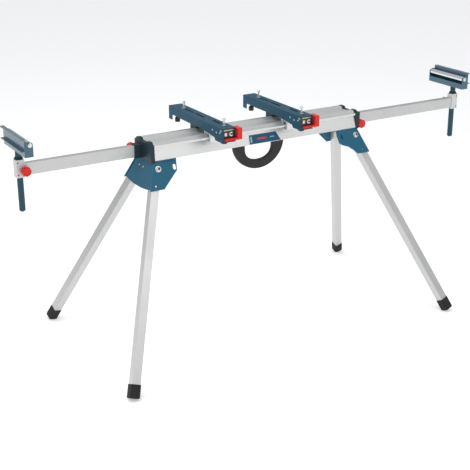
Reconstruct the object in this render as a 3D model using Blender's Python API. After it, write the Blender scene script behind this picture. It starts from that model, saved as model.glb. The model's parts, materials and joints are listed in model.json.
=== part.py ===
"""Folding leg stand for a mitre saw: aluminium beam, splayed legs, two clamp-on saw mounts
and two extending arms with height-adjustable roller heads. Metres, +Z up, floor at z = 0."""

import bmesh
import bpy
from math import cos, pi, radians, sin
from mathutils import Matrix, Vector

# Frame: the beam is not in the middle of the width, because the right arm is pulled out further.
BEAM_X = -0.038
BEAM_HALF = 0.4507
BEAM_BOTTOM = 0.7493
BEAM_TOP = 0.8159
LIP_Y = 0.0655
LIP_LOW = 0.7955
SLOPE_FOOT = 0.0690
SLOPE_TOP = 0.0575
GAP = 0.0003

# End caps, with the collar that guides the arm, and the arm's clamp knob.
CAP_IN = BEAM_HALF + GAP
CAP_OUT = 0.4670
COLLAR_OUT = 0.4990
COLLAR_WALL = 0.0038
CAP_BOTTOM = 0.7436
ARM_FIT = 0.0005
ARM_KNOB_X = 0.4862
LEFT_KNOB_Z = 0.7770
RIGHT_KNOB_Z = 0.7580
ARM_KNOB_REACH = 0.0150
KNOB_R = 0.0178
KNOB_THICK = 0.0210
STEM_R = 0.0060

# Extending arms: rectangular tube, one each side of the middle plane.
ARM_HIGH = 0.0430
ARM_THICK = 0.0256
ARM_Z = 0.7737
ARM_Y = 0.0165
ARM_WALL = 0.002
ARM_LENGTH = 0.815

# Posts, heads and rollers.
POST_X = 0.970
POST_R = 0.0110
POST_WALL = 0.002
CLAMP_HALF = 0.0150
TENON = 0.030
POST_KNOB_IN = 0.0130
POST_KNOB_Z = 0.7720
POST_KNOB_REACH = 0.0060
POST_BOTTOM = 0.6205
CLAMP_BOTTOM = 0.7466
CLAMP_TOP = 0.8108
HEAD_BOTTOM = 0.8430
HEAD_TOP = 0.9090
HEAD_LENGTH = 0.210
HEAD_Y = 0.0145
HEAD_BACK = 0.0100
HEAD_FRONT = -0.0180
HEAD_FLANGE = 0.0250
HEAD_SHELF = 0.8640
HEAD_LIP = 0.8650
SHEET = 0.003
ROLLER_Z = 0.8850
ROLLER_R = 0.0105
ROLLER_IN = -0.007
AXLE_R = 0.0032

# Legs: square tube, splayed along and across the beam.
LEG_SIDE = 0.0320
LEG_WALL = 0.002
PIVOT_Z = 0.7115
FOOT_X = 0.725
FOOT_Y = 0.393
SLOPE_X = 0.393
SLOPE_Y = 0.4715
LEG_SHORT = 0.026
FOOT_SIDE = 0.0385
FOOT_SHORT = 0.0080
FOOT_LENGTH = 0.0500
FOOT_ROUND = 0.0060
LEG_PLATE_GAP = 0.0030
PLATE = 0.003
PIN_DISTANCE = 0.0645
PIVOT_BOLT_R = 0.0050
PIN_R = 0.0040
INNER_SKEW = radians(3.0)
OUTER_SKEW = radians(3.2)

# Leg brackets: cheek outlines as (along the folded leg, down the cheek) from the pivot.
CHEEK_TOP = -0.0275
CHEEK_BOTTOM = 0.0766
CHEEK_CORNER = -0.0195
INNER_PLATE = [(0.0816, CHEEK_TOP), (0.0760, 0.0145), (0.0085, CHEEK_BOTTOM)]
OUTER_PLATE = [(0.0907, CHEEK_TOP), (0.0945, -0.0065), (0.0884, 0.0250), (0.0735, 0.0340), (0.0485, 0.0430),
               (0.0235, 0.0620), (0.0095, CHEEK_BOTTOM)]
END_OFFSET = 0.0200
END_PLATE = [(0.0640, 0.7420), (0.0800, 0.7150), (0.1040, 0.6545), (0.0740, 0.6490), (0.0300, 0.6450)]
TOP_PLATE_Z = BEAM_BOTTOM - GAP
TOP_PLATE = 0.0045
TOP_HALF = 0.0685
STEP_HALF = 0.0600

# Carrying handle and badge.
HANDLE_X = BEAM_X + 0.030
HANDLE_HALF = 0.1150
HANDLE_THICK = 0.018
HANDLE_SHOULDER = 0.7370
HANDLE_DEPTH = 0.1075
GRIP_HALF = 0.0630
GRIP_SHOULDER = 0.7200
GRIP_DEPTH = 0.0550
BADGE = [(-0.0480, 0.0020), (0.0915, 0.0020), (0.0715, 0.0370), (-0.0480, 0.0370)]
BADGE_THICK = 0.0015

# Saw mounts.
MOUNT_X = (-0.240, 0.101)
MOUNT_HALF = 0.0280
MOUNT_TOP = 0.8620
MOUNT_WALL = 0.003
REAR_BOLT_Y = 0.1710
FRONT_BOLT_Y = -0.1380
BOLT_R = 0.0038
TAIL_KNOB_Y = 0.2270
MOUNT_REAR = 0.2460
MOUNT_FRONT = -0.1735
SLOT_HALF = 0.0046
GRIP_ROOM = 0.0008
LEVER_PIN = (-0.1670, 0.8535)
LEVER_PIN_R = 0.0030

X = Vector((1, 0, 0))
Y = Vector((0, 1, 0))
Z = Vector((0, 0, 1))

for old in list(bpy.data.objects):
    bpy.data.objects.remove(old)


def material(name, colour, rough, metal):
    mat = bpy.data.materials.new(name)
    mat.use_nodes = True
    shader = mat.node_tree.nodes["Principled BSDF"]
    shader.inputs["Base Color"].default_value = (*colour, 1)
    shader.inputs["Roughness"].default_value = rough
    shader.inputs["Metallic"].default_value = metal
    return mat


BLUE = material("blue_paint", (0.025, 0.10, 0.19), 0.4, 0.0)
DARK_BLUE = material("dark_blue_plastic", (0.010, 0.030, 0.042), 0.5, 0.0)
ALUMINIUM = material("aluminium", (0.72, 0.72, 0.72), 0.35, 1.0)
CAST = material("cast_grey", (0.55, 0.56, 0.56), 0.5, 0.2)
RED = material("red_plastic", (0.70, 0.03, 0.03), 0.4, 0.0)
BLACK = material("black_plastic", (0.02, 0.018, 0.016), 0.5, 0.0)
RUBBER = material("black_rubber", (0.015, 0.015, 0.015), 0.8, 0.0)
ZINC = material("zinc_steel", (0.62, 0.62, 0.60), 0.35, 1.0)
BRASSY = material("yellow_zinc", (0.50, 0.42, 0.20), 0.4, 1.0)


def place(bm, name, mat, origin=(0, 0, 0), smooth=False):
    """Turn a bmesh in world coordinates into an object whose origin is at the given point."""
    origin = Vector(origin)
    bmesh.ops.translate(bm, verts=bm.verts, vec=-origin)
    bmesh.ops.recalc_face_normals(bm, faces=bm.faces)
    mesh = bpy.data.meshes.new(name)
    bm.to_mesh(mesh)
    bm.free()
    if smooth:
        mesh.shade_smooth()
        mesh.set_sharp_from_angle(angle=radians(35))
    mesh.materials.append(mat)
    obj = bpy.data.objects.new(name, mesh)
    obj.location = origin
    bpy.context.scene.collection.objects.link(obj)
    return obj


def prism(points, start, end):
    """Closed prism: the outline in 3-D, swept from start to end."""
    bm = bmesh.new()
    start = Vector(start)
    face = bm.faces.new([bm.verts.new(Vector(p) + start) for p in points])
    swept = bmesh.ops.extrude_face_region(bm, geom=[face])
    moved = [v for v in swept["geom"] if isinstance(v, bmesh.types.BMVert)]
    bmesh.ops.translate(bm, verts=moved, vec=Vector(end) - start)
    return bm


def box(low, high):
    low = Vector(low)
    high = Vector(high)
    points = [(0, 0, 0), (0, high.y - low.y, 0), (0, high.y - low.y, high.z - low.z), (0, 0, high.z - low.z)]
    return prism(points, low, low + X * (high.x - low.x))


def yz_prism(outline, x_low, x_high):
    return prism([(0, y, z) for y, z in outline], (x_low, 0, 0), (x_high, 0, 0))


def basis(axis):
    """Rotation that carries +Z to the axis."""
    return Z.rotation_difference(Vector(axis)).to_matrix().to_4x4()


def turned(profile, point, axis, segments=24):
    """Solid of revolution from (radius, height) pairs, both ends closed, heights along the axis."""
    bm = bmesh.new()
    rings = []
    for radius, height in profile:
        ring = []
        for i in range(segments):
            angle = 2 * pi * i / segments
            ring.append(bm.verts.new((radius * cos(angle), radius * sin(angle), height)))
        rings.append(ring)
    for lower, upper in zip(rings, rings[1:]):
        for i in range(segments):
            j = (i + 1) % segments
            bm.faces.new((lower[i], lower[j], upper[j], upper[i]))
    bm.faces.new(rings[0])
    bm.faces.new(rings[-1])
    bmesh.ops.transform(bm, matrix=Matrix.Translation(point) @ basis(axis), verts=bm.verts)
    return bm


def boolean(obj, bm, operation, label):
    """Keep the second shape as a hidden guide and join or cut with it."""
    guide = place(bm, f"{obj.name}_{label}_guide", obj.data.materials[0])
    guide.hide_render = True
    guide.display_type = "WIRE"
    mod = obj.modifiers.new(label, "BOOLEAN")
    mod.operation = operation
    mod.solver = "EXACT"
    mod.object = guide


def cut(obj, bm, label):
    boolean(obj, bm, "DIFFERENCE", label)


def join(obj, bm, label):
    boolean(obj, bm, "UNION", label)


def mirrored(half):
    """Outline symmetrical about y = 0, from its half with y > 0, bottom to top."""
    return half + [(-y, z) for y, z in reversed(half)]


# ---- beam -------------------------------------------------------------------------------------

RAIL = [(0.0500, BEAM_TOP), (0.0300, BEAM_TOP), (0.0240, 0.8075)]
LIP = [(SLOPE_TOP, LIP_LOW), (LIP_Y, 0.7985), (LIP_Y, 0.8055), (0.0560, 0.8075)]
BEAM_OUTLINE = mirrored([(SLOPE_FOOT, BEAM_BOTTOM)] + LIP + RAIL)
CAP_OUTLINE = mirrored([(0.0700, CAP_BOTTOM), (0.0672, 0.7900), (0.0672, 0.8068), (0.0575, 0.8088),
                        (0.0508, 0.8166), (0.0292, 0.8166), (0.0232, 0.8090)])
BEAM_HOLLOW = mirrored([(0.0652, 0.7515), (0.0547, 0.7945), (0.0480, 0.8040)])


def main_beam():
    beam = place(yz_prism(BEAM_OUTLINE, BEAM_X - BEAM_HALF, BEAM_X + BEAM_HALF), "main_beam", ALUMINIUM)
    past = BEAM_HALF + 0.01
    cut(beam, yz_prism(BEAM_HOLLOW, BEAM_X - past, BEAM_X + past), "hollow")


# ---- end caps, arms, posts and heads ----------------------------------------------------------

def knob(name, point, axis, reach):
    """Red clamp knob: eight-sided grip on a round stem, turning about its own axis."""
    top = reach + KNOB_THICK
    grip = turned([(KNOB_R - 0.0018, reach), (KNOB_R, reach + 0.002), (KNOB_R, top - 0.003), (KNOB_R - 0.0028, top)],
                  point, axis, 8)
    obj = place(grip, name, RED, point)
    join(obj, turned([(STEM_R, GAP), (STEM_R, reach + 0.006)], point, axis, 16), "stem")


def arm_box(side, grow, x_from, x_to):
    y = -side * ARM_Y
    half_y = ARM_THICK / 2 + grow
    half_z = ARM_HIGH / 2 + grow
    xs = sorted((BEAM_X + side * x_from, BEAM_X + side * x_to))
    return box((xs[0], y - half_y, ARM_Z - half_z), (xs[1], y + half_y, ARM_Z + half_z))


def end_cap(word, side):
    cap = place(yz_prism(CAP_OUTLINE, BEAM_X + side * CAP_IN, BEAM_X + side * CAP_OUT), f"{word}_end_cap", DARK_BLUE)
    join(cap, arm_box(side, COLLAR_WALL, CAP_IN + 0.004, COLLAR_OUT), "collar")
    cut(cap, arm_box(side, ARM_FIT, CAP_IN - 0.01, COLLAR_OUT + 0.01), "opening")
    y = side * -(ARM_Y + ARM_THICK / 2 + COLLAR_WALL)
    z = LEFT_KNOB_Z if side < 0 else RIGHT_KNOB_Z
    knob(f"{word}_arm_knob", (BEAM_X + side * ARM_KNOB_X, y, z), -side * Y, ARM_KNOB_REACH)


def arm(word, side):
    outer = side * (POST_X - CLAMP_HALF - GAP)
    xs = sorted((outer, outer - side * ARM_LENGTH))
    half_y = ARM_THICK / 2
    half_z = ARM_HIGH / 2
    y = -side * ARM_Y
    tube = place(box((xs[0], y - half_y, ARM_Z - half_z), (xs[1], y + half_y, ARM_Z + half_z)),
                 f"{word}_arm", ALUMINIUM, (outer, y, ARM_Z))
    half_y -= ARM_WALL
    half_z -= ARM_WALL
    cut(tube, box((xs[0] - 0.01, y - half_y, ARM_Z - half_z), (xs[1] + 0.01, y + half_y, ARM_Z + half_z)), "bore")


def post_clamp(word, side):
    x = side * POST_X
    y = -side * ARM_Y
    body = place(box((x - CLAMP_HALF, y - CLAMP_HALF, CLAMP_BOTTOM), (x + CLAMP_HALF, y + CLAMP_HALF, CLAMP_TOP)),
                 f"{word}_post_clamp", CAST, (x, y, ARM_Z))
    inner = side * (POST_X - CLAMP_HALF)
    xs = sorted((inner + side * 0.004, inner - side * TENON))
    half_y = ARM_THICK / 2 - ARM_WALL - GAP
    half_z = ARM_HIGH / 2 - ARM_WALL - GAP
    join(body, box((xs[0], y - half_y, ARM_Z - half_z), (xs[1], y + half_y, ARM_Z + half_z)), "tenon")
    bore = [(POST_R + GAP, CLAMP_BOTTOM - 0.01), (POST_R + GAP, CLAMP_TOP + 0.01)]
    cut(body, turned(bore, (x, y, 0), Z), "bore")
    face = y + side * CLAMP_HALF
    knob_x = side * (POST_X - POST_KNOB_IN)
    knob(f"{word}_post_knob", (knob_x, face, POST_KNOB_Z), side * Y, POST_KNOB_REACH)


def post(word, side):
    x = side * POST_X
    y = -side * ARM_Y
    top = HEAD_BOTTOM - GAP
    outer = [(POST_R - 0.004, POST_BOTTOM), (POST_R, POST_BOTTOM + 0.004), (POST_R, top)]
    tube = place(turned(outer, (x, y, 0), Z), f"{word}_post", BLUE, (x, y, POST_BOTTOM), True)
    inside = [(POST_R - POST_WALL, POST_BOTTOM + 0.006), (POST_R - POST_WALL, top + 0.01)]
    cut(tube, turned(inside, (x, y, 0), Z), "bore")


def roller_frame(word, side):
    """Folded sheet: tall stop plate with two turned flanges, a low inner lip and two end cheeks."""
    x = side * POST_X
    near = HEAD_Y - HEAD_LENGTH / 2
    far = HEAD_Y + HEAD_LENGTH / 2
    back = HEAD_BACK + SHEET
    outline = [
        (HEAD_FRONT, HEAD_BOTTOM), (back, HEAD_BOTTOM), (back, HEAD_SHELF), (HEAD_FLANGE, HEAD_SHELF),
        (HEAD_FLANGE, HEAD_SHELF + SHEET), (back, HEAD_SHELF + SHEET), (back, HEAD_TOP - SHEET),
        (HEAD_FLANGE, HEAD_TOP - SHEET), (HEAD_FLANGE, HEAD_TOP), (HEAD_BACK, HEAD_TOP),
        (HEAD_BACK, HEAD_BOTTOM + SHEET), (HEAD_FRONT + SHEET, HEAD_BOTTOM + SHEET),
        (HEAD_FRONT + SHEET, HEAD_LIP), (HEAD_FRONT, HEAD_LIP),
    ]
    body = prism([(x + side * a, 0, z) for a, z in outline], (0, near, 0), (0, far, 0))
    frame = place(body, f"{word}_roller_frame", BLUE, (x, -side * ARM_Y, HEAD_BOTTOM))
    cheek = [(HEAD_FRONT, HEAD_BOTTOM + 0.001), (HEAD_BACK + 0.001, HEAD_BOTTOM + 0.001),
             (HEAD_BACK + 0.001, 0.8960), (ROLLER_IN + 0.006, 0.8975), (HEAD_FRONT + 0.002, 0.8920),
             (HEAD_FRONT, 0.8860)]
    cheek_points = [(x + side * a, 0, z) for a, z in cheek]
    for outer, inner, label in ((near, near + SHEET, "near_cheek"), (far, far - SHEET, "far_cheek")):
        join(frame, prism(cheek_points, (0, inner, 0), (0, outer, 0)), label)
    reach = HEAD_LENGTH / 2 + 0.01
    axle_hole = [(AXLE_R + GAP, -reach), (AXLE_R + GAP, reach)]
    cut(frame, turned(axle_hole, (x + side * ROLLER_IN, HEAD_Y, ROLLER_Z), Y, 16), "axle_hole")


def roller_and_axle(word, side):
    centre = (side * (POST_X + ROLLER_IN), HEAD_Y, ROLLER_Z)
    half = HEAD_LENGTH / 2
    head_r = 0.0080
    head_out = half + 0.0035
    axle_half = [(AXLE_R, half + GAP), (head_r, half + GAP), (head_r, head_out - 0.0015), (head_r / 2, head_out)]
    axle = [(radius, -height) for radius, height in reversed(axle_half)] + axle_half
    place(turned(axle, centre, Y), f"{word}_roller_axle", ZINC, centre, True)
    reach = half - SHEET - 0.001
    tube = [(ROLLER_R - 0.001, -reach), (ROLLER_R, -reach + 0.001), (ROLLER_R, reach - 0.001),
            (ROLLER_R - 0.001, reach)]
    roller = place(turned(tube, centre, Y, 32), f"{word}_roller", ALUMINIUM, centre, True)
    bore = [(AXLE_R + 0.0005, -half), (AXLE_R + 0.0005, half)]
    cut(roller, turned(bore, centre, Y, 16), "bore")


# ---- legs -------------------------------------------------------------------------------------

def leg_frame(side_x, side_y):
    """Pivot point, leg direction, folded direction and outward normal of one leg's folding plane."""
    lift = PIVOT_Z
    pivot = Vector((BEAM_X + side_x * (FOOT_X - SLOPE_X * lift), side_y * (FOOT_Y - SLOPE_Y * lift), lift))
    down = Vector((side_x * SLOPE_X, side_y * SLOPE_Y, -1)).normalized()
    inner = side_x * side_y > 0
    skew = -INNER_SKEW if inner else OUTER_SKEW
    flat_normal = Vector((0, side_y, SLOPE_Y)).normalized()
    folded = (-side_x * X * cos(skew) + flat_normal * sin(skew)).normalized()
    normal = down.cross(folded).normalized()
    if normal.y * side_y < 0:
        normal.negate()
    across = down.cross(normal).normalized()
    if across.x * side_x > 0:
        across.negate()
    return pivot, down, folded, normal, across


def square_about(across, normal, half):
    return [across * a + normal * b for a, b in ((half, half), (half, -half), (-half, -half), (-half, half))]


def leg_parts(word, side_x, side_y):
    pivot, down, folded, normal, across = leg_frame(side_x, side_y)
    half = LEG_SIDE / 2
    to_floor = PIVOT_Z / -down.z
    length = to_floor - LEG_SHORT
    outline = [across * half + down * length, across * -half + down * length]
    for i in range(13):
        angle = pi * i / 12
        outline.append(across * (-half * cos(angle)) - down * (half * sin(angle)))
    leg = place(prism(outline, pivot - normal * half, pivot + normal * half), f"{word}_leg", ALUMINIUM, pivot)
    inside = square_about(across, normal, half - LEG_WALL)
    cut(leg, prism(inside, pivot + down * 0.002, pivot + down * to_floor), "bore")
    hole = [(PIVOT_BOLT_R + GAP, -half - 0.01), (PIVOT_BOLT_R + GAP, half + 0.01)]
    cut(leg, turned(hole, pivot, normal, 20), "pivot_hole")
    pin_at = pivot + down * PIN_DISTANCE
    cut(leg, turned([(PIN_R + GAP, 0), (PIN_R + GAP, half + 0.01)], pin_at, normal, 16), "pin_hole")
    plate_in = half + LEG_PLATE_GAP
    collar_r = PIN_R + 0.002
    pin = [(PIN_R, 0.004), (PIN_R, 0.0100), (collar_r, 0.0100), (collar_r, 0.0125), (PIN_R, 0.0125),
           (PIN_R, plate_in - 0.0014), (PIN_R - 0.0010, plate_in - 0.0006)]
    place(turned(pin, pin_at, normal, 16), f"{word}_lock_pin", ZINC, pin_at)
    foot(word, pivot, down, across, normal, to_floor)
    pivot_bolt(word, pivot, normal, plate_in)


def pivot_bolt(word, pivot, normal, plate_in):
    """Shank through plate and leg, wide flange outside the plate, nut inside the leg pair."""
    shank_in = -(LEG_SIDE / 2 + 0.0020)
    outside = plate_in + PLATE + GAP
    profile = [(0.0085, shank_in - 0.0060), (0.0085, shank_in), (PIVOT_BOLT_R, shank_in), (PIVOT_BOLT_R, outside),
               (0.0120, outside), (0.0120, outside + 0.0020), (0.0080, outside + 0.0020),
               (0.0080, outside + 0.0070), (0.0065, outside + 0.0080)]
    place(turned(profile, pivot, normal, 20), f"{word}_pivot_bolt", ZINC, pivot)


def foot(word, pivot, down, across, normal, to_floor):
    """Rubber cap pushed on the tube end: rounded underneath, with a small flat level with the floor."""
    half = FOOT_SIDE / 2
    nip = half - 0.005
    corners = [(half, nip), (nip, half), (-nip, half), (-half, nip), (-half, -nip), (-nip, -half), (nip, -half),
               (half, -nip)]
    outline = [across * a + normal * b for a, b in corners]
    end = to_floor - FOOT_SHORT
    bm = prism(outline, pivot + down * (end - FOOT_LENGTH), pivot + down * end)
    rim = [e for e in bm.edges if all((v.co - pivot).dot(down) > end - 0.001 for v in e.verts)]
    bmesh.ops.bevel(bm, geom=rim, offset=FOOT_ROUND, offset_type="OFFSET", segments=3, profile=0.5,
                    affect="EDGES", material=-1)
    bmesh.ops.bisect_plane(bm, geom=bm.verts[:] + bm.edges[:] + bm.faces[:], plane_co=(0, 0, 0), plane_no=(0, 0, 1),
                           clear_inner=True)
    bmesh.ops.holes_fill(bm, edges=[e for e in bm.edges if e.is_boundary])
    tip = pivot + down * (to_floor - LEG_SHORT)
    cap = place(bm, f"{word}_foot", RUBBER, tip)
    socket = square_about(across, normal, LEG_SIDE / 2 + GAP)
    cut(cap, prism(socket, tip - down * FOOT_LENGTH, tip + down * GAP), "socket")


# ---- leg brackets -----------------------------------------------------------------------------

def cheek_slope(normal, folded):
    """Direction down the cheek, square to the folded leg."""
    slope = normal.cross(folded).normalized()
    if slope.z > 0:
        slope.negate()
    return slope


def cheek(side_x, side_y):
    """One bent cheek of a bracket, parallel to its leg's folding plane."""
    pivot, _, folded, normal, _ = leg_frame(side_x, side_y)
    slope = cheek_slope(normal, folded)
    corners = INNER_PLATE if side_x * side_y > 0 else OUTER_PLATE
    end_normal = Vector((side_x, 0, SLOPE_X)).normalized()
    outline = [folded * a + slope * b for a, b in corners]
    for b in (CHEEK_BOTTOM, CHEEK_CORNER):
        reach = (END_OFFSET + PLATE * 0.6 - (slope * b).dot(end_normal)) / folded.dot(end_normal)
        outline.append(folded * reach + slope * b)
    outline.append(folded * 0.0080 + slope * CHEEK_TOP)
    inside = LEG_SIDE / 2 + LEG_PLATE_GAP
    return prism(outline, pivot + normal * inside, pivot + normal * (inside + PLATE))


def cheek_holes(bracket, side_x, side_y, label):
    """Holes for the pivot bolt and the lock pin, and the oblong hole for the pin when the leg is folded."""
    pivot, down, folded, normal, _ = leg_frame(side_x, side_y)
    slope = cheek_slope(normal, folded)
    near = 0.012
    far = 0.030
    bolt_hole = [(PIVOT_BOLT_R + GAP, near), (PIVOT_BOLT_R + GAP, far)]
    cut(bracket, turned(bolt_hole, pivot, normal, 20), f"{label}_pivot_hole")
    pin_hole = [(PIN_R + 2 * GAP, near), (PIN_R + 2 * GAP, far)]
    cut(bracket, turned(pin_hole, pivot + down * PIN_DISTANCE, normal, 16), f"{label}_pin_hole")
    centre = pivot + folded * (PIN_DISTANCE + 0.004) + slope * 0.001
    radius = 0.0068
    stretch = 0.0040
    oblong = []
    for i in range(20):
        angle = 2 * pi * i / 20
        tall = stretch if sin(angle) > 0 else -stretch
        oblong.append(folded * (radius * cos(angle)) + slope * (radius * sin(angle) + tall))
    cut(bracket, prism(oblong, centre + normal * near, centre + normal * far), f"{label}_fold_hole")


def leg_bracket(word, side):
    """Bent sheet under the beam's end: top plate, sloping end plate and two cheeks, as one piece."""
    pivot = leg_frame(side, -1)[0]
    end_normal = Vector((side, 0, SLOPE_X)).normalized()
    base = Vector((pivot.x, 0, PIVOT_Z)) + end_normal * END_OFFSET
    down = Vector((side * SLOPE_X, 0, -1))
    end_outline = [base + down * (base.z - z) + Y * y for y, z in mirrored(END_PLATE)]
    bracket = place(prism(end_outline, (0, 0, 0), end_normal * PLATE), f"{word}_leg_bracket", BLUE,
                    (pivot.x, 0, TOP_PLATE_Z))
    beam_end = BEAM_X + side * (BEAM_HALF - GAP)
    xs = sorted((beam_end, pivot.x - side * 0.0800))
    join(bracket, box((xs[0], -TOP_HALF, TOP_PLATE_Z - TOP_PLATE), (xs[1], TOP_HALF, TOP_PLATE_Z)), "top")
    xs = sorted((beam_end, beam_end - side * 0.0060))
    join(bracket, box((xs[0], -STEP_HALF, 0.7375), (xs[1], STEP_HALF, TOP_PLATE_Z - 0.001)), "step")
    xs = sorted((beam_end + side * 0.0070, beam_end - side * 0.0060))
    join(bracket, box((xs[0], -STEP_HALF, 0.7385), (xs[1], STEP_HALF, 0.7424)), "lip")
    depths = ((-1, "front"), (1, "rear"))
    for side_y, label in depths:
        join(bracket, cheek(side, side_y), f"{label}_cheek")
    for side_y, label in depths:
        cheek_holes(bracket, side, side_y, label)


# ---- handle and badge -------------------------------------------------------------------------

def carry_handle():
    """Flat D-shaped moulding hanging from the beam's underside."""
    top = BEAM_BOTTOM - GAP
    steps = 24
    outer = [(-HANDLE_HALF, top)]
    for i in range(steps + 1):
        angle = pi * i / steps
        outer.append((-HANDLE_HALF * cos(angle), HANDLE_SHOULDER - HANDLE_DEPTH * sin(angle)))
    outer.append((HANDLE_HALF, top))
    half = HANDLE_THICK / 2
    handle = place(prism([(HANDLE_X + a, 0, z) for a, z in outer], (0, -half, 0), (0, half, 0)), "carry_handle",
                   BLACK)
    inner = [(-GRIP_HALF, GRIP_SHOULDER + 0.020)]
    for i in range(steps + 1):
        angle = pi * i / steps
        bulge = max(sin(angle), 0) ** 0.75
        inner.append((-GRIP_HALF * cos(angle), GRIP_SHOULDER - GRIP_DEPTH * bulge))
    inner.append((GRIP_HALF, GRIP_SHOULDER + 0.020))
    cut(handle, prism([(HANDLE_X + a, 0, z) for a, z in inner], (0, -0.02, 0), (0, 0.02, 0)), "opening")


def nameplate():
    """Thin badge on the beam's sloping front face, kept below the path of the mounts' jaws."""
    low = Vector((0, -SLOPE_FOOT, BEAM_BOTTOM))
    high = Vector((0, -SLOPE_TOP, LIP_LOW))
    up = (high - low).normalized()
    out = Vector((0, -up.z, up.y))
    start = low + out * GAP
    outline = [X * (BEAM_X + a) + up * b for a, b in BADGE]
    place(prism(outline, start, start + out * BADGE_THICK), "nameplate", BLUE)


# ---- saw mounts -------------------------------------------------------------------------------

def mount_channel(word, x):
    """Inverted channel of bent sheet, deeper at both ends, with slots for the saw's bolts."""
    tail = 0.2200
    outline = [(MOUNT_REAR, MOUNT_TOP), (MOUNT_REAR, 0.8090), (tail, 0.8090), (tail, 0.8300), (0.1930, 0.8300),
               (0.1880, 0.8285), (-0.0175, 0.8275), (-0.0720, 0.8230), (-0.1155, 0.8180), (-0.1220, 0.8080),
               (MOUNT_FRONT, 0.8080), (MOUNT_FRONT, MOUNT_TOP)]
    channel = place(yz_prism(outline, x - MOUNT_HALF, x + MOUNT_HALF), f"{word}_mount_channel", BLUE,
                    (x, 0, MOUNT_TOP))
    inside = MOUNT_HALF - MOUNT_WALL
    cut(channel, box((x - inside, MOUNT_FRONT - 0.01, 0.79),
                     (x + inside, MOUNT_REAR - MOUNT_WALL, MOUNT_TOP - MOUNT_WALL)), "inside")
    cut(channel, box((x - inside, tail, 0.79), (x + inside, MOUNT_REAR + 0.01, 0.8240)), "tail_opening")
    for low, high, label in ((0.0900, 0.1800, "rear"), (0.0100, 0.0780, "middle"), (-0.1520, -0.1200, "front")):
        cut(channel, box((x - SLOT_HALF, low, 0.85), (x + SLOT_HALF, high, 0.87)), f"{label}_slot")
    cut(channel, box((x + 0.002, -0.1000, 0.85), (x + 0.012, -0.0450, 0.87)), "window")
    pin_hole = [(LEVER_PIN_R + GAP, -0.05), (LEVER_PIN_R + GAP, 0.05)]
    cut(channel, turned(pin_hole, (x, *LEVER_PIN), X, 16), "pin_hole")


def mount_grip(word, x):
    """Fixed rear hook and sliding front jaw; each has a toe under the beam's lip."""
    half = MOUNT_HALF - MOUNT_WALL - GRIP_ROOM
    hook = [(0.0300, 0.8163), (0.0300, 0.8583), (0.0780, 0.8583), (0.0780, 0.7880), (0.0605, 0.7880),
            (0.0605, 0.7960), (0.0668, 0.7970), (0.0668, 0.8163)]
    place(yz_prism(hook, x - half, x + half), f"{word}_mount_rear_hook", DARK_BLUE)
    jaw = [(-0.0320, 0.8163), (-0.0320, 0.8440), (-0.1150, 0.8440), (-0.1150, 0.8280), (-0.0780, 0.8200),
           (-0.0780, 0.7880), (-0.0605, 0.7880), (-0.0605, 0.7960), (-0.0668, 0.7970), (-0.0668, 0.8163)]
    place(yz_prism(jaw, x - half, x + half), f"{word}_mount_clamp_jaw", ZINC)
    plate = place(box((x - half, -0.1580, 0.8265), (x + half, -0.1550, 0.8583)), f"{word}_mount_front_plate", ZINC)
    cut(plate, turned([(0.0055, -0.01), (0.0055, 0.01)], (x + 0.0120, -0.1565, 0.8390), Y, 16), "eye")
    cut(plate, box((x - 0.0090, -0.17, 0.8300), (x - 0.0030, -0.14, 0.8550)), "gap")


def mount_lever(word, x):
    """Red release lever beside and below the channel's open front, hinged on a cross pin."""
    pin_y, pin_z = LEVER_PIN
    outer = x + 0.0480
    lever = place(box((x + 0.0292, -0.1880, 0.8180), (outer, -0.1500, 0.8600)), f"{word}_mount_lever", RED,
                  (x, pin_y, pin_z))
    join(lever, box((x - 0.0200, -0.1880, 0.8180), (outer, -0.1765, 0.8250)), "bar")
    cut(lever, turned([(LEVER_PIN_R + GAP, 0.0), (LEVER_PIN_R + GAP, 0.06)], (x, pin_y, pin_z), X, 16), "pin_hole")
    head_r = 0.0045
    pin = [(head_r, -0.0315), (head_r, -0.0284), (LEVER_PIN_R, -0.0284), (LEVER_PIN_R, 0.0500),
           (LEVER_PIN_R - 0.0006, 0.0510)]
    place(turned(pin, (x, pin_y, pin_z), X, 16), f"{word}_mount_lever_pin", BRASSY, (x, pin_y, pin_z))


def mount_bolt(word, which, x, y, nut, bottom):
    """Upright bolt for the saw's foot, with a washer on the channel; nut is a collar as (radius, low, high)."""
    top = MOUNT_TOP + GAP
    head = 0.8850
    washer = top + 0.0018
    profile = [(BOLT_R, bottom)]
    if nut:
        radius, low, high = nut
        profile += [(BOLT_R, low), (radius, low), (radius, high), (BOLT_R, high)]
    profile += [(BOLT_R, top), (0.0085, top), (0.0085, washer), (BOLT_R, washer), (BOLT_R, head), (0.0062, head),
                (0.0062, head + 0.0040), (0.0050, head + 0.0050)]
    place(turned(profile, (x, y, 0), Z, 16), f"{word}_mount_{which}_bolt", ZINC, (x, y, top), True)


def front_knob(word, x):
    """Black hand nut under the front bolt, inside the channel's mouth."""
    low = 0.7960
    high = low + 0.0200
    grip = [(0.0105, low), (0.0120, low + 0.002), (0.0120, high - 0.004), (0.0075, high - 0.002), (0.0075, high)]
    nut = place(turned(grip, (x, FRONT_BOLT_Y, 0), Z, 12), f"{word}_mount_front_knob", BLACK,
                (x, FRONT_BOLT_Y, low))
    bore = [(BOLT_R + GAP, low - 0.01), (BOLT_R + GAP, high + 0.01)]
    cut(nut, turned(bore, (x, FRONT_BOLT_Y, 0), Z, 16), "bore")


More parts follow.
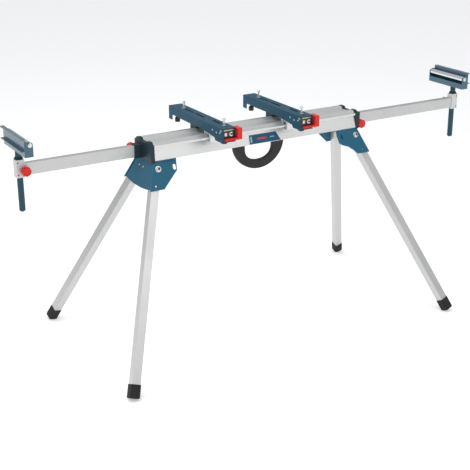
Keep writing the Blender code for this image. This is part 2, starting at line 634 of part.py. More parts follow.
def tail_knob(word, x):
    """Black hand knob on a stud under the channel's tail."""
    low = 0.7960
    high = low + 0.0190
    stud_top = MOUNT_TOP - MOUNT_WALL - GAP
    grip = [(0.0085, low), (0.0105, low + 0.002), (0.0105, high - 0.003), (0.0075, high), (0.0040, high),
            (0.0040, stud_top)]
    place(turned(grip, (x, TAIL_KNOB_Y, 0), Z, 12), f"{word}_mount_rear_knob", BLACK, (x, TAIL_KNOB_Y, low))


def saw_mount(word, x):
    mount_channel(word, x)
    mount_grip(word, x)
    mount_lever(word, x)
    mount_bolt(word, "rear", x, REAR_BOLT_Y, (0.0070, 0.8480, 0.8575), 0.8400)
    mount_bolt(word, "front", x, FRONT_BOLT_Y, None, 0.7940)
    front_knob(word, x)
    tail_knob(word, x)


main_beam()
carry_handle()
nameplate()
for word, side in (("left", -1), ("right", 1)):
    end_cap(word, side)
    arm(word, side)
    post_clamp(word, side)
    post(word, side)
    roller_frame(word, side)
    roller_and_axle(word, side)
    leg_bracket(word, side)
    for depth, side_y in (("front", -1), ("rear", 1)):
        leg_parts(f"{word}_{depth}", side, side_y)
for word, x in zip(("left", "right"), MOUNT_X):
    saw_mount(word, x)
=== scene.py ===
import json
from math import cos, pi, radians

import bmesh
import bpy
from mathutils import Matrix, Vector


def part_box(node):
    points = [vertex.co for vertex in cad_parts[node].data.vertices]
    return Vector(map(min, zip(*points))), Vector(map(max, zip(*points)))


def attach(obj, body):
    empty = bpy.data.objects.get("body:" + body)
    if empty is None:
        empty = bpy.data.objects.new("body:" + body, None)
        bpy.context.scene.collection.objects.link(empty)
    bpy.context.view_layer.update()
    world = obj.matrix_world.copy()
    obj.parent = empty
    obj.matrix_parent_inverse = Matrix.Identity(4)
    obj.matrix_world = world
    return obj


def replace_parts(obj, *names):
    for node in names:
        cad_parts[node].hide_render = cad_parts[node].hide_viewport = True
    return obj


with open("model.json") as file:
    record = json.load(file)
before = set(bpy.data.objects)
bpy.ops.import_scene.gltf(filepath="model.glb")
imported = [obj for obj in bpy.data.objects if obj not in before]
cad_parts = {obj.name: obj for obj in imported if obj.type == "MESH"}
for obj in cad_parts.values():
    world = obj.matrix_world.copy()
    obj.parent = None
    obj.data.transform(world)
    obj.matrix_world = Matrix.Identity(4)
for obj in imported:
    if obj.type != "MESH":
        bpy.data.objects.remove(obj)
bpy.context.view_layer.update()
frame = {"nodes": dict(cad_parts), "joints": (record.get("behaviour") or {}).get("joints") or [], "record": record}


# ---- Beam ----
# The spine of the stand: one hollow aluminium extrusion, clear anodised, sawn to length and
# brushed along its run. Two ribs on its top carry the saw mounts, and they grip a lip on each side.

X, Y, Z = Vector((1, 0, 0)), Vector((0, 1, 0)), Vector((0, 0, 1))
BODY_OF = {node: body for body, members in frame["record"]["behaviour"]["bodies"].items()
           for node in members}
SHARP_DEGREES = 38
CORNER_DEGREES = 28
FLAT_DEGREES = 0.6
WELD = 1e-5


def add_socket(group, name, into, kind, value=None):
    way = "INPUT" if into else "OUTPUT"
    socket = group.interface.new_socket(name=name, in_out=way, socket_type=kind)
    if value is not None:
        socket.default_value = value


def surface_group():
    """Mottled two-colour surface with its roughness and a fine height, stretched along one axis."""
    group = bpy.data.node_groups.new("Worked surface", "ShaderNodeTree")
    add_socket(group, "Colour", True, "NodeSocketColor", (0.5, 0.5, 0.5, 1))
    add_socket(group, "Other Colour", True, "NodeSocketColor", (0.6, 0.6, 0.6, 1))
    add_socket(group, "Grain Size", True, "NodeSocketVector", (100, 100, 100))
    add_socket(group, "Smoothest", True, "NodeSocketFloat", 0.3)
    add_socket(group, "Roughest", True, "NodeSocketFloat", 0.5)
    add_socket(group, "Colour", False, "NodeSocketColor")
    add_socket(group, "Roughness", False, "NodeSocketFloat")
    add_socket(group, "Height", False, "NodeSocketFloat")
    nodes, links = group.nodes, group.links
    into = nodes.new("NodeGroupInput")
    out = nodes.new("NodeGroupOutput")
    where = nodes.new("ShaderNodeTexCoord")
    scale = nodes.new("ShaderNodeVectorMath")
    scale.operation = "MULTIPLY"
    fine = nodes.new("ShaderNodeTexNoise")
    fine.inputs["Scale"].default_value = 1.0
    fine.inputs["Detail"].default_value = 4.0
    cloud = nodes.new("ShaderNodeTexNoise")
    cloud.inputs["Scale"].default_value = 9.0
    cloud.inputs["Detail"].default_value = 3.0
    blend = nodes.new("ShaderNodeMath")
    blend.operation = "MULTIPLY_ADD"
    blend.inputs[1].default_value = 0.45
    tint = nodes.new("ShaderNodeMix")
    tint.data_type = "RGBA"
    rough = nodes.new("ShaderNodeMapRange")
    rough.inputs["From Min"].default_value = 0.35
    rough.inputs["From Max"].default_value = 0.65
    share = nodes.new("ShaderNodeMath")
    share.operation = "MULTIPLY"
    share.inputs[1].default_value = 0.55
    links.new(where.outputs["Object"], scale.inputs[0])
    links.new(into.outputs["Grain Size"], scale.inputs[1])
    links.new(scale.outputs["Vector"], fine.inputs["Vector"])
    links.new(where.outputs["Object"], cloud.inputs["Vector"])
    links.new(cloud.outputs["Fac"], share.inputs[0])
    links.new(fine.outputs["Fac"], blend.inputs[0])
    links.new(share.outputs["Value"], blend.inputs[2])
    links.new(blend.outputs["Value"], tint.inputs["Factor"])
    links.new(into.outputs["Colour"], tint.inputs["A"])
    links.new(into.outputs["Other Colour"], tint.inputs["B"])
    links.new(blend.outputs["Value"], rough.inputs["Value"])
    links.new(into.outputs["Smoothest"], rough.inputs["To Min"])
    links.new(into.outputs["Roughest"], rough.inputs["To Max"])
    links.new(tint.outputs["Result"], out.inputs["Colour"])
    links.new(rough.outputs["Result"], out.inputs["Roughness"])
    links.new(fine.outputs["Fac"], out.inputs["Height"])
    return group


def wear_group():
    """Rubbed edges: where the surface turns sharply, the worn colour shows in broken patches."""
    group = bpy.data.node_groups.new("Edge wear", "ShaderNodeTree")
    add_socket(group, "Colour", True, "NodeSocketColor", (0.5, 0.5, 0.5, 1))
    add_socket(group, "Worn Colour", True, "NodeSocketColor", (0.8, 0.8, 0.8, 1))
    add_socket(group, "Amount", True, "NodeSocketFloat", 0.3)
    add_socket(group, "Colour", False, "NodeSocketColor")
    add_socket(group, "Mask", False, "NodeSocketFloat")
    nodes, links = group.nodes, group.links
    into = nodes.new("NodeGroupInput")
    out = nodes.new("NodeGroupOutput")
    flat = nodes.new("ShaderNodeNewGeometry")
    eased_normal = nodes.new("ShaderNodeBevel")
    eased_normal.samples = 6
    eased_normal.inputs["Radius"].default_value = 0.0012
    turn = nodes.new("ShaderNodeVectorMath")
    turn.operation = "DOT_PRODUCT"
    edge = nodes.new("ShaderNodeMapRange")
    edge.inputs["From Min"].default_value = 0.995
    edge.inputs["From Max"].default_value = 0.90
    where = nodes.new("ShaderNodeTexCoord")
    patches = nodes.new("ShaderNodeTexNoise")
    patches.inputs["Scale"].default_value = 60.0
    patches.inputs["Detail"].default_value = 5.0
    cut = nodes.new("ShaderNodeMapRange")
    cut.inputs["From Min"].default_value = 0.45
    cut.inputs["From Max"].default_value = 0.62
    worn = nodes.new("ShaderNodeMath")
    worn.operation = "MULTIPLY"
    amount = nodes.new("ShaderNodeMath")
    amount.operation = "MULTIPLY"
    mix = nodes.new("ShaderNodeMix")
    mix.data_type = "RGBA"
    links.new(flat.outputs["Normal"], turn.inputs[0])
    links.new(eased_normal.outputs["Normal"], turn.inputs[1])
    links.new(turn.outputs["Value"], edge.inputs["Value"])
    links.new(where.outputs["Object"], patches.inputs["Vector"])
    links.new(patches.outputs["Fac"], cut.inputs["Value"])
    links.new(edge.outputs["Result"], worn.inputs[0])
    links.new(cut.outputs["Result"], worn.inputs[1])
    links.new(worn.outputs["Value"], amount.inputs[0])
    links.new(into.outputs["Amount"], amount.inputs[1])
    links.new(amount.outputs["Value"], mix.inputs["Factor"])
    links.new(into.outputs["Colour"], mix.inputs["A"])
    links.new(into.outputs["Worn Colour"], mix.inputs["B"])
    links.new(mix.outputs["Result"], out.inputs["Colour"])
    links.new(amount.outputs["Value"], out.inputs["Mask"])
    return group


SURFACE = surface_group()
WEAR = wear_group()


def finish(name, colour, other, grain, rough, bump, metallic=0.0, worn=None, wear=0.0, coat=0.0,
           shine=0.5):
    """A material: worked surface, then edge wear, then a Principled shader with a shallow bump."""
    mat = bpy.data.materials.new(name)
    mat.use_nodes = True
    nodes, links = mat.node_tree.nodes, mat.node_tree.links
    shader = nodes["Principled BSDF"]
    surface = nodes.new("ShaderNodeGroup")
    surface.node_tree = SURFACE
    surface.inputs["Colour"].default_value = (*colour, 1)
    surface.inputs["Other Colour"].default_value = (*other, 1)
    surface.inputs["Grain Size"].default_value = grain
    surface.inputs["Smoothest"].default_value = rough[0]
    surface.inputs["Roughest"].default_value = rough[1]
    rub = nodes.new("ShaderNodeGroup")
    rub.node_tree = WEAR
    rub.inputs["Worn Colour"].default_value = (*(worn or other), 1)
    rub.inputs["Amount"].default_value = wear
    height = nodes.new("ShaderNodeBump")
    height.inputs["Strength"].default_value = 0.5
    height.inputs["Distance"].default_value = bump
    links.new(surface.outputs["Colour"], rub.inputs["Colour"])
    links.new(rub.outputs["Colour"], shader.inputs["Base Color"])
    links.new(surface.outputs["Roughness"], shader.inputs["Roughness"])
    links.new(surface.outputs["Height"], height.inputs["Height"])
    links.new(height.outputs["Normal"], shader.inputs["Normal"])
    shader.inputs["Metallic"].default_value = metallic
    shader.inputs["Specular IOR Level"].default_value = shine
    shader.inputs["Coat Weight"].default_value = coat
    shader.inputs["Coat Roughness"].default_value = 0.15
    return mat


ANODISED = finish("Clear anodised aluminium", (0.66, 0.66, 0.65), (0.76, 0.76, 0.75),
                  grain=(3, 1500, 1500), rough=(0.26, 0.38), bump=0.00003,
                  metallic=0.70)


def as_piece(bm, name, mat, body, weighted=False):
    """Turn a bmesh in world coordinates into a finished piece that rides on a body."""
    mesh = bpy.data.meshes.new(name)
    bm.to_mesh(mesh)
    bm.free()
    mesh.shade_smooth()
    mesh.set_sharp_from_angle(angle=radians(SHARP_DEGREES))
    mesh.materials.append(mat)
    piece = bpy.data.objects.new(name, mesh)
    bpy.context.scene.collection.objects.link(piece)
    if weighted:
        even = piece.modifiers.new("Flat faces stay flat", "WEIGHTED_NORMAL")
        even.keep_sharp = True
    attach(piece, body)
    return piece


def bevelled(bm, edges, radius, segments):
    bmesh.ops.bevel(bm, geom=edges, offset=radius, offset_type="OFFSET", segments=segments,
                    profile=0.5, affect="EDGES", clamp_overlap=True, material=-1)


def eased(node, mat, radius, segments=2, corner=CORNER_DEGREES, keep=None):
    """The real piece with its corners eased: a merged copy of its solid, bevelled."""
    bm = bmesh.new()
    bm.from_mesh(frame["nodes"][node].data)
    bmesh.ops.remove_doubles(bm, verts=bm.verts, dist=WELD)
    bmesh.ops.dissolve_limit(bm, angle_limit=radians(FLAT_DEGREES), verts=bm.verts, edges=bm.edges)
    corners = [e for e in bm.edges
               if len(e.link_faces) == 2 and e.calc_face_angle(0) > radians(corner)]
    if keep:
        corners = [e for e in corners if keep(e)]
    bevelled(bm, corners, radius, segments)
    bmesh.ops.triangulate(bm, faces=[f for f in bm.faces if len(f.verts) > 4])
    piece = as_piece(bm, f"{node}_finished", mat, BODY_OF[node], weighted=True)
    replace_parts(piece, node)


def along_x(edge):
    return abs((edge.verts[0].co - edge.verts[1].co).normalized().x) > 0.99


eased("main_beam", ANODISED, 0.0008, keep=along_x)


# ---- Badge ----
# Thin printed film stuck on the sloping front of the beam.
# The print is a red bar, a short pale bar and a pale edge.

BADGE_BLUE = finish("Badge film", (0.010, 0.070, 0.130), (0.014, 0.090, 0.160),
                    grain=(40, 40, 40), rough=(0.30, 0.40), bump=0.00001,
                    shine=0.25)
BADGE_RED = finish("Badge red ink", (0.42, 0.03, 0.06), (0.50, 0.05, 0.08),
                   grain=(90, 90, 90), rough=(0.30, 0.40), bump=0.00001)
BADGE_PALE = finish("Badge pale ink", (0.26, 0.36, 0.44), (0.32, 0.42, 0.50),
                    grain=(90, 90, 90), rough=(0.30, 0.40), bump=0.00001)
BAR_PROUD = 0.0003
BAR_SUNK = 0.0002
BADGE_THICK = 0.0015

eased("nameplate", BADGE_BLUE, 0.0004)
badge_low, badge_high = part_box("nameplate")
badge_rise = badge_high.z - badge_low.z
badge_up = Vector((0, badge_high.y - badge_low.y - BADGE_THICK, badge_rise)).normalized()
badge_out = Vector((0, -badge_up.z, badge_up.y))
badge_tall = badge_rise / badge_up.z


def block(low, high, matrix, radius=0.0):
    """Block from its low to its high corner, in the frame of the matrix, with its edges eased."""
    low, high = Vector(low), Vector(high)
    size = high - low
    bm = bmesh.new()
    bmesh.ops.create_cube(bm, size=1)
    bmesh.ops.scale(bm, vec=size, verts=bm.verts)
    bmesh.ops.translate(bm, vec=(low + high) / 2, verts=bm.verts)
    bmesh.ops.transform(bm, matrix=matrix, verts=bm.verts)
    if radius:
        bevelled(bm, bm.edges[:], radius, 2)
    return bm


def facing(point, axis, across=None):
    """Matrix that puts the origin at a point with +Z along the axis."""
    axis = Vector(axis).normalized()
    side = (across or (X if abs(axis.x) < 0.7 else Y)).copy()
    side = (side - axis * side.dot(axis)).normalized()
    up = axis.cross(side)
    return Matrix.Translation(point) @ Matrix((side, up, axis)).transposed().to_4x4()


badge_face = facing(badge_low, badge_out, X)
for label, ink, (left, right), (bottom, top) in (
        ("red_bar", BADGE_RED, (0.034, 0.075), (0.40, 0.62)),
        ("pale_bar", BADGE_PALE, (0.092, 0.110), (0.46, 0.58)),
        ("pale_edge", BADGE_PALE, (0.0035, 0.0110), (0.16, 0.84))):
    bar = block((left, badge_tall * bottom, -BAR_SUNK), (right, badge_tall * top, BAR_PROUD),
                badge_face, 0.0002)
    as_piece(bar, f"badge_{label}", ink, "stand_body")


# ---- Carrying handle ----
# D-shaped hand grip moulded in black plastic with a fine grain.
# It is bolted up into the beam's underside.

GRIP_BLACK = finish("Grained black plastic", (0.021, 0.018, 0.018), (0.034, 0.030, 0.029),
                    grain=(900, 900, 900), rough=(0.42, 0.62), bump=0.00008,
                    worn=(0.10, 0.095, 0.09), wear=0.25, shine=0.3)
eased("carry_handle", GRIP_BLACK, 0.0035, segments=4)


# ---- End caps ----
# Dark moulded caps closing the beam, each with a collar that guides its arm.
# They are pushed into the beam's ends.

CAP_PLASTIC = finish("Dark moulded plastic", (0.008, 0.024, 0.030), (0.014, 0.040, 0.050),
                     grain=(700, 700, 700), rough=(0.38, 0.55), bump=0.00005,
                     worn=(0.04, 0.085, 0.10), wear=0.35, shine=0.3)
ZINC = finish("Bright zinc plate", (0.62, 0.63, 0.62), (0.74, 0.75, 0.74),
              grain=(250, 250, 250), rough=(0.24, 0.38), bump=0.00002,
              metallic=1.0)
# Blackened steel for the clamp screws and latch covers; it also paints the shade in the pivot bolts' socket holes.
DARK_STEEL_AND_SOCKET_SHADE = finish("Blackened steel and painted socket shade", (0.05, 0.05, 0.055), (0.08, 0.08, 0.085),
                    grain=(300, 300, 300), rough=(0.35, 0.5), bump=0.00002,
                    metallic=0.8)
SIDES = (("left", -1), ("right", 1))
HEAD_SUNK = 0.0004


def turned(profile, matrix, steps):
    """Lathe work: (radius, height) pairs spun about the matrix's own +Z."""
    bm = bmesh.new()
    points = [bm.verts.new((radius, 0, height)) for radius, height in profile]
    edges = [bm.edges.new(pair) for pair in zip(points, points[1:])]
    bmesh.ops.spin(bm, geom=points + edges, cent=(0, 0, 0), axis=(0, 0, 1), angle=2 * pi,
                   steps=steps, use_merge=True, use_duplicate=False)
    bmesh.ops.remove_doubles(bm, verts=bm.verts, dist=1e-6)
    bmesh.ops.recalc_face_normals(bm, faces=bm.faces)
    bmesh.ops.transform(bm, matrix=matrix, verts=bm.verts)
    return bm


def gathered(parts):
    """Several closed shapes as one bmesh."""
    whole = bmesh.new()
    for part in parts:
        mesh = bpy.data.meshes.new("part")
        part.to_mesh(mesh)
        part.free()
        whole.from_mesh(mesh)
        bpy.data.meshes.remove(mesh)
    return whole


def pan_head(matrix, radius, tall):
    """Domed screw or rivet head sitting on a surface."""
    return turned([(0, -HEAD_SUNK), (radius, -HEAD_SUNK), (radius, tall * 0.35),
                   (radius * 0.86, tall * 0.75), (radius * 0.5, tall * 0.96), (0, tall)], matrix, 20)


def repaint(node, mat):
    """The CAD piece itself in a new material."""
    frame["nodes"][node].data.materials.clear()
    frame["nodes"][node].data.materials.append(mat)


for word, _ in SIDES:
    eased(f"{word}_end_cap", CAP_PLASTIC, 0.0012)


# ---- Knobs ----
# Moulded red hand knobs with eight lobes, a dished face and a round stem.
# Each turns on a screw in its end cap or post clamp.

KNOB_RED = finish("Red moulded plastic", (0.66, 0.012, 0.009), (0.78, 0.026, 0.018),
                  grain=(300, 300, 300), rough=(0.26, 0.40), bump=0.00003,
                  worn=(0.85, 0.16, 0.12), wear=0.3, shine=0.3)
KNOB_THICK = 0.0210
KNOB_STEM = 0.0060
STEM_FLARE = 0.0020
KNOB_DISH = 0.0026
KNOB_RIM = ((0.0146, 0.0), (0.0166, 0.0010), (0.0176, 0.0030), (0.0178, 0.0060), (0.0178, 0.0150),
            (0.0172, 0.0185), (0.0155, 0.0205), (0.0135, 0.0210), (0.0118, 0.0204), (0.0108, 0.0190))
LOBES = 8
LOBE_DEPTH = 0.075
LOBES_FROM = 0.0132


def lobed(bm, matrix):
    """Pull the rim in between the lobes, where a finger rests."""
    back = matrix.inverted()
    for v in bm.verts:
        at = back @ v.co
        flat = Vector((at.x, at.y))
        if flat.length > LOBES_FROM:
            angle = Vector((1, 0)).angle_signed(flat)
            pull = 1 - LOBE_DEPTH * (0.5 - 0.5 * cos(LOBES * angle))
            v.co = matrix @ Vector((at.x * pull, at.y * pull, at.z))


for node in ("left_arm_knob", "right_arm_knob", "left_post_knob", "right_post_knob"):
    low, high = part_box(node)
    joint = next(j for j in frame["joints"] if j["child"] == node)
    out = Vector(joint["axis"])
    base = Vector(joint["pos_m"])
    top = high.y - base.y if out.y > 0 else base.y - low.y
    start = top - KNOB_THICK
    stand = facing(base, out)
    profile = [(0, 0.0004), (KNOB_STEM, 0.0004), (KNOB_STEM, start * 0.7),
               (KNOB_STEM + STEM_FLARE, start)]
    profile += [(radius, start + rise) for radius, rise in KNOB_RIM]
    profile += [(0, top - KNOB_DISH)]
    knob = turned(profile, stand, 96)
    lobed(knob, stand)
    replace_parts(as_piece(knob, f"{node}_finished", KNOB_RED, node), node)


# ---- Arms and post clamps ----
# Rectangular aluminium tube with fine draw lines. A light grey casting is plugged into its outer
# end and pinched on the post by the knob. A dark moulded collar wipes the post above it.

ARM_METAL = finish("Drawn aluminium tube", (0.50, 0.50, 0.49), (0.68, 0.68, 0.67),
                   grain=(2.5, 330, 330), rough=(0.36, 0.52), bump=0.00012,
                   metallic=0.8)
CASTING = finish("Light grey casting", (0.60, 0.61, 0.60), (0.70, 0.71, 0.70),
                 grain=(450, 450, 450), rough=(0.42, 0.58), bump=0.00012,
                 metallic=0.2, worn=(0.80, 0.80, 0.80), wear=0.3)
COLLAR = ((0.0006, 0), (0.0046, 0), (0.0048, 0.0008), (0.0048, 0.0044), (0.0040, 0.0054),
          (0.0026, 0.0058), (0.0022, 0.0084), (0.0006, 0.0084), (0.0006, 0))
CLAMP_SCREW_OUT = 0.0090
UPPER_DROP, LOWER_DROP = 0.010, 0.054

for word, side in SIDES:
    body = f"{word}_arm"
    eased(f"{word}_arm", ARM_METAL, 0.0018, segments=3, keep=along_x)
    eased(f"{word}_post_clamp", CASTING, 0.0016, segments=3)
    clamp_low, clamp_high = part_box(f"{word}_post_clamp")
    post_low, post_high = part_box(f"{word}_post")
    axis_x = (post_low.x + post_high.x) / 2
    axis_y = (post_low.y + post_high.y) / 2
    tube = (post_high.x - post_low.x) / 2
    collar = turned([(tube + proud, rise) for proud, rise in COLLAR],
                    facing((axis_x, axis_y, clamp_high.z), Z), 48)
    as_piece(collar, f"{word}_post_collar", CAP_PLASTIC, body)
    screws = []
    for face_y, out, drop in ((clamp_low.y, -Y, UPPER_DROP), (clamp_low.y, -Y, LOWER_DROP),
                              (clamp_high.y, Y, UPPER_DROP)):
        place = (axis_x + side * CLAMP_SCREW_OUT, face_y, clamp_high.z - drop)
        screws.append(pan_head(facing(place, out), 0.0026, 0.0012))
    as_piece(gathered(screws), f"{word}_clamp_screws", DARK_STEEL_AND_SOCKET_SHADE, body)


# ---- Posts and roller heads ----
# Painted steel tube carries a folded sheet channel, in which a turned roller spins on a headed
# axle. The tall stop plate behind the roller has a turned-over top edge.

POST_PAINT = finish("Dark blue powder coat", (0.018, 0.062, 0.085), (0.026, 0.084, 0.112),
                    grain=(520, 520, 520), rough=(0.36, 0.52), bump=0.00008,
                    worn=(0.20, 0.30, 0.36), wear=0.35, shine=0.25)
HEAD_PAINT = finish("Blue gloss paint", (0.014, 0.082, 0.135), (0.022, 0.108, 0.170),
                    grain=(520, 520, 520), rough=(0.30, 0.46), bump=0.00004,
                    worn=(0.25, 0.38, 0.46), wear=0.4, coat=0.8)
ROLLER_METAL = finish("Turned aluminium", (0.74, 0.74, 0.74), (0.84, 0.84, 0.84),
                      grain=(900, 5, 900), rough=(0.20, 0.32), bump=0.00003,
                      metallic=1.0)
HEAD_SHEET = 0.003
RIVET_SPREAD = Vector((0.005, 0.030, 0))

for word, side in SIDES:
    eased(f"{word}_post", POST_PAINT, 0.0006, corner=60)
    eased(f"{word}_roller_frame", HEAD_PAINT, 0.0008)
    repaint(f"{word}_roller_axle", ZINC)
    eased(f"{word}_roller", ROLLER_METAL, 0.0004, corner=60)
    low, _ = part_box(f"{word}_roller_frame")
    post_low, post_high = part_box(f"{word}_post")
    centre = (post_low + post_high) / 2
    centre.z = low.z + HEAD_SHEET
    spread = Vector((-side * RIVET_SPREAD.x, RIVET_SPREAD.y, 0))
    rivets = [pan_head(facing(centre + spread * way, Z), 0.0034, 0.0020) for way in (-1, 1)]
    as_piece(gathered(rivets), f"{word}_head_rivets", ZINC, f"{word}_post")


# ---- Legs ----
# Square aluminium tube with rounded corners, bored for its pivot bolt and lock pin.
# A moulded black rubber foot is pushed over its end.

LEG_METAL = finish("Anodised leg tube", (0.54, 0.54, 0.53), (0.64, 0.64, 0.63),
                   grain=(420, 420, 12), rough=(0.30, 0.42), bump=0.00003,
                   metallic=0.78)
RUBBER = finish("Black rubber", (0.014, 0.013, 0.013), (0.024, 0.023, 0.022),
                grain=(600, 600, 600), rough=(0.55, 0.75), bump=0.00012,
                worn=(0.09, 0.088, 0.085), wear=0.5, shine=0.25)
LEGS = [(word, depth, side) for word, side in SIDES for depth in ("front", "rear")]


def leg_axes(name):
    """Pivot, outward normal, and direction down the leg, from its joint and its solid."""
    joint = next(j for j in frame["joints"] if j["child"] == f"{name}_leg")
    pivot = Vector(joint["pos_m"])
    normal = Vector(joint["axis"])
    if normal.y * pivot.y < 0:
        normal = -normal
    low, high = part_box(f"{name}_foot")
    toward = (low + high) / 2 - pivot
    down = (toward - normal * toward.dot(normal)).normalized()
    return pivot, normal, down


for word, depth, _ in LEGS:
    name = f"{word}_{depth}"
    down = leg_axes(name)[2]

    def runs_down(edge, line=down):
        return abs((edge.verts[0].co - edge.verts[1].co).normalized().dot(line)) > 0.99

    eased(f"{name}_leg", LEG_METAL, 0.0030, segments=4, keep=runs_down)
    eased(f"{name}_foot", RUBBER, 0.0018, segments=3)


# ---- Leg brackets ----
# Folded steel plate in blue powder coat, bolted up into the beam, with two rivets in its end plate.
# It holds the pivot bolts, each a wide bright washer under a head whose socket is painted shade:
# a dark hex block in its recess. A tongue inside each upper corner closes the fold.

BRACKET_PAINT = finish("Blue powder coat, brackets", (0.012, 0.105, 0.175), (0.018, 0.130, 0.210),
                       grain=(520, 520, 520), rough=(0.34, 0.50), bump=0.00008,
                       worn=(0.20, 0.38, 0.48), wear=0.45, shine=0.25)
WASHER_R = 0.0118
HEAD_R = 0.0078
SOCKET_R = 0.0050
END_PLATE_OUT = 0.0230
RIVET_DOWN = 0.005
LEG_HALF = 0.016
PLATE_GAP = 0.003
PLATE = 0.003
CLEAR = 0.0003
PLATE_OUT = LEG_HALF + PLATE_GAP + PLATE + CLEAR
NUT_TOP = -0.018
PIVOT_BOLT = ((0, NUT_TOP - 0.006), (0.0085, NUT_TOP - 0.006), (0.0085, NUT_TOP), (0.005, NUT_TOP),
              (0.005, PLATE_OUT), (WASHER_R, PLATE_OUT), (WASHER_R, PLATE_OUT + 0.0012),
              (WASHER_R - 0.0006, PLATE_OUT + 0.0018), (HEAD_R + 0.0004, PLATE_OUT + 0.0018),
              (HEAD_R, PLATE_OUT + 0.0055), (HEAD_R - 0.0012, PLATE_OUT + 0.0068),
              (SOCKET_R, PLATE_OUT + 0.0070), (SOCKET_R - 0.0003, PLATE_OUT + 0.0030),
              (0, PLATE_OUT + 0.0026))
# Dark hex block sunk in the bolt head's recess: painted shade standing for the socket hole.
SOCKET = ((0, 0), (SOCKET_R - 0.0006, 0), (SOCKET_R - 0.0006, 0.0022), (0, 0.0022))
# Low and high corner: in along the beam, down the cheek, out from the leg's middle plane.
TONGUE = ((-0.0180, -0.0262, 0.0174), (0.0140, -0.0140, 0.0192))

for word, side in SIDES:
    eased(f"{word}_leg_bracket", BRACKET_PAINT, 0.0009)
    pivot, _, down = leg_axes(f"{word}_front")
    lean = abs(down.x / down.z)
    out = Vector((side, 0, lean)).normalized()
    plate_face = Vector((pivot.x, 0, pivot.z)) + out * (END_PLATE_OUT + 0.0001)
    fall = Vector((side * lean, 0, -1))
    row = plate_face + fall * RIVET_DOWN
    rivets = [pan_head(facing(row - Y * side * across, out), 0.0036, 0.0016)
              for across in (0.028, -0.004)]
    as_piece(gathered(rivets), f"{word}_bracket_rivets", ZINC, "stand_body")
for word, depth, side in LEGS:
    name = f"{word}_{depth}"
    pivot, normal, down = leg_axes(name)
    inward = facing(pivot, normal, X * -side)
    if (inward.to_3x3() @ Y).z > 0:
        inward = inward @ Matrix.Diagonal((1, -1, 1, 1))
    tongue = block(*TONGUE, inward)
    bmesh.ops.recalc_face_normals(tongue, faces=tongue.faces)
    as_piece(tongue, f"{name}_corner_tongue", BRACKET_PAINT, "stand_body")
    bolt = turned(PIVOT_BOLT, facing(pivot, normal, down), 48)
    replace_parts(as_piece(bolt, f"{name}_pivot_bolt_finished", ZINC, "stand_body"),
                f"{name}_pivot_bolt")
    # The dark hex in each bolt head is painted shade for the socket hole.
    socket = turned(SOCKET, facing(pivot + normal * (PLATE_OUT + 0.0030), normal, down), 6)
    as_piece(socket, f"{name}_bolt_socket_shade", DARK_STEEL_AND_SOCKET_SHADE, "stand_body")
    repaint(f"{name}_lock_pin", ZINC)


# ---- Saw mounts ----
# Inverted channels of folded steel in blue powder coat, clamped across the beam. Each has slots
# for the saw's bolts, a fixed rear hook, a sliding jaw and a zinc front plate. A dark cover with
# its clips hides the latch, and a red lever lets go of the beam.

MOUNT_PAINT = finish("Blue powder coat, mounts", (0.010, 0.066, 0.112), (0.016, 0.088, 0.145),
                     grain=(520, 520, 520), rough=(0.38, 0.54), bump=0.00008,
                     worn=(0.16, 0.30, 0.38), wear=0.45, shine=0.2)
YELLOW_ZINC = finish("Yellow passivated zinc", (0.42, 0.37, 0.16), (0.55, 0.50, 0.26),
                     grain=(300, 300, 300), rough=(0.30, 0.45), bump=0.00003,
                     metallic=0.8)
HAND_NUT = finish("Black hand nut plastic", (0.016, 0.016, 0.017), (0.028, 0.028, 0.030),
                  grain=(500, 500, 500), rough=(0.40, 0.55), bump=0.00005,
                  worn=(0.09, 0.09, 0.09), wear=0.3)
# Blocks as low and high corner: across the channel, height above the floor, out from its front end.
LATCH_COVER = ((-0.0245, 0.8135, -0.0022), (0.0245, 0.8580, 0.0))
LATCH_STRIP = ((-0.0215, 0.8525, -0.0004), (0.0200, 0.8570, 0.0005))
LATCH_TAB = ((-0.0185, 0.8330, -0.0004), (-0.0085, 0.8460, 0.0014))
FRONT_GUARD = ((-0.0250, 0.8085, -0.0120), (0.0250, 0.8130, -0.0004))
CLIP_SECTION = ((0.0042, 0.0001), (0.0080, 0.0001), (0.0080, 0.0016), (0.0042, 0.0016))
CLIP_AT = (0.0090, 0.8395, 0)
CLIP_SWEEP = radians(285)
CLIP_START = radians(38)
SIDE_RIVETS = ((-0.1020, 0.8440), (-0.1300, 0.8400), (-0.1560, 0.8440))


def open_clip(front):
    """Open retaining ring lying flat on the latch cover."""
    bm = bmesh.new()
    section = [bm.verts.new((radius, 0, rise)) for radius, rise in CLIP_SECTION]
    bmesh.ops.spin(bm, geom=[*section, bm.faces.new(section)], cent=(0, 0, 0), axis=(0, 0, 1),
                   angle=CLIP_SWEEP, steps=24, use_merge=False, use_duplicate=False)
    bmesh.ops.recalc_face_normals(bm, faces=bm.faces)
    place = front @ Matrix.Translation(CLIP_AT) @ Matrix.Rotation(CLIP_START, 4, "Z")
    bmesh.ops.transform(bm, matrix=place, verts=bm.verts)
    return bm


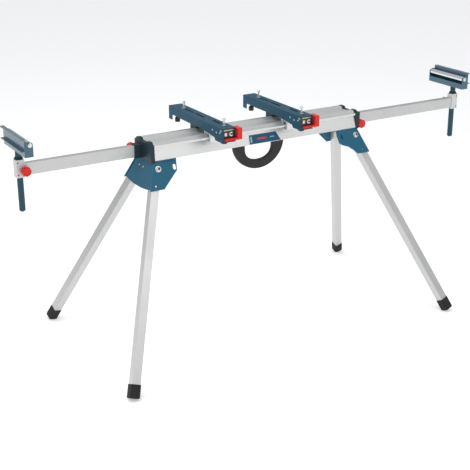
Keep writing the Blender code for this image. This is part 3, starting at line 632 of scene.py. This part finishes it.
for word, _ in SIDES:
    mount = f"{word}_mount"
    eased(f"{mount}_channel", MOUNT_PAINT, 0.0009)
    eased(f"{mount}_rear_hook", CAP_PLASTIC, 0.0010)
    eased(f"{mount}_clamp_jaw", ZINC, 0.0008)
    eased(f"{mount}_front_plate", ZINC, 0.0005)
    eased(f"{mount}_lever", KNOB_RED, 0.0030, segments=4)
    repaint(f"{mount}_lever_pin", YELLOW_ZINC)
    for which in ("rear", "front"):
        repaint(f"{mount}_{which}_bolt", ZINC)
        eased(f"{mount}_{which}_knob", HAND_NUT, 0.0008)
    low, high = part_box(f"{mount}_channel")
    front = facing(((low.x + high.x) / 2, low.y, 0), -Y, X)
    for shape, radius, label, mat, slot in (
            (LATCH_COVER, 0.0006, "latch_cover", DARK_STEEL_AND_SOCKET_SHADE, "zinc_steel"),
            (LATCH_STRIP, 0.0002, "latch_strip", YELLOW_ZINC, "yellow_zinc"),
            (FRONT_GUARD, 0.0008, "front_guard", HAND_NUT, "knob_black")):
        as_piece(block(*shape, front, radius), f"{mount}_{label}", mat, mount)
    clips = gathered([block(*LATCH_TAB, front, 0.0005), open_clip(front)])
    as_piece(clips, f"{mount}_latch_clips", ZINC, mount)
    rivets = [pan_head(facing((wall, y, z), way * X), 0.0034, 0.0014)
              for wall, way in ((low.x, -1), (high.x, 1)) for y, z in SIDE_RIVETS]
    as_piece(gathered(rivets), f"{mount}_rivets", ZINC, mount)


# ---- Floor, light and camera ----
# A pale floor that glows a little under the stand, broad soft lamps from above and in front,
# and the camera to the front left.

pale_floor = bpy.data.materials.new("Pale floor")
pale_floor.use_nodes = True
floor_shader = pale_floor.node_tree.nodes["Principled BSDF"]
floor_shader.inputs["Base Color"].default_value = (0.97, 0.97, 0.97, 1)
floor_shader.inputs["Roughness"].default_value = 0.9
floor_shader.inputs["Emission Color"].default_value = (1, 1, 1, 1)
floor_shader.inputs["Emission Strength"].default_value = 0.34
ground = bmesh.new()
bmesh.ops.create_grid(ground, x_segments=1, y_segments=1, size=20)
floor_mesh = bpy.data.meshes.new("floor")
ground.to_mesh(floor_mesh)
ground.free()
floor_mesh.materials.append(pale_floor)
floor = bpy.data.objects.new("floor", floor_mesh)
floor.location = (0, 0, -0.0005)
bpy.context.scene.collection.objects.link(floor)

world = bpy.data.worlds.new("Studio")
world.use_nodes = True
sky = world.node_tree.nodes["Background"]
sky.inputs["Color"].default_value = (0.96, 0.98, 1.0, 1)
sky.inputs["Strength"].default_value = 0.54
bpy.context.scene.world = world


def lamp(name, place, aim, size, power):
    light = bpy.data.lights.new(name, "AREA")
    light.shape = "RECTANGLE"
    light.size, light.size_y = size
    light.energy = power
    obj = bpy.data.objects.new(name, light)
    obj.location = place
    obj.rotation_euler = (Vector(aim) - Vector(place)).to_track_quat("-Z", "Y").to_euler()
    bpy.context.scene.collection.objects.link(obj)


lamp("Key", (1.6, -4.2, 2.6), (0, 0, 0.6), (3.4, 2.4), 32)
lamp("Top", (-0.8, 0.0, 4.4), (0, 0, 0.5), (4.0, 3.0), 66)
lamp("Left", (-3.6, -0.6, 3.2), (-0.3, 0, 0.6), (2.0, 2.0), 20)

LENS = 79.58
HEADING = radians(-30.69)
TILT = radians(90 - 21.06)
ROLL = radians(-0.13)
camera = bpy.data.objects.new("Camera", bpy.data.cameras.new("Camera"))
camera.data.lens = LENS
camera.data.sensor_width = 36
camera.location = (-2.083, -3.320, 1.852)
camera.rotation_euler = (Matrix.Rotation(HEADING, 3, "Z") @ Matrix.Rotation(TILT, 3, "X")
                         @ Matrix.Rotation(ROLL, 3, "Z")).to_euler()
camera.data.clip_end = 200
bpy.context.scene.collection.objects.link(camera)
bpy.context.scene.camera = camera

bpy.context.scene.view_settings.view_transform = "Standard"
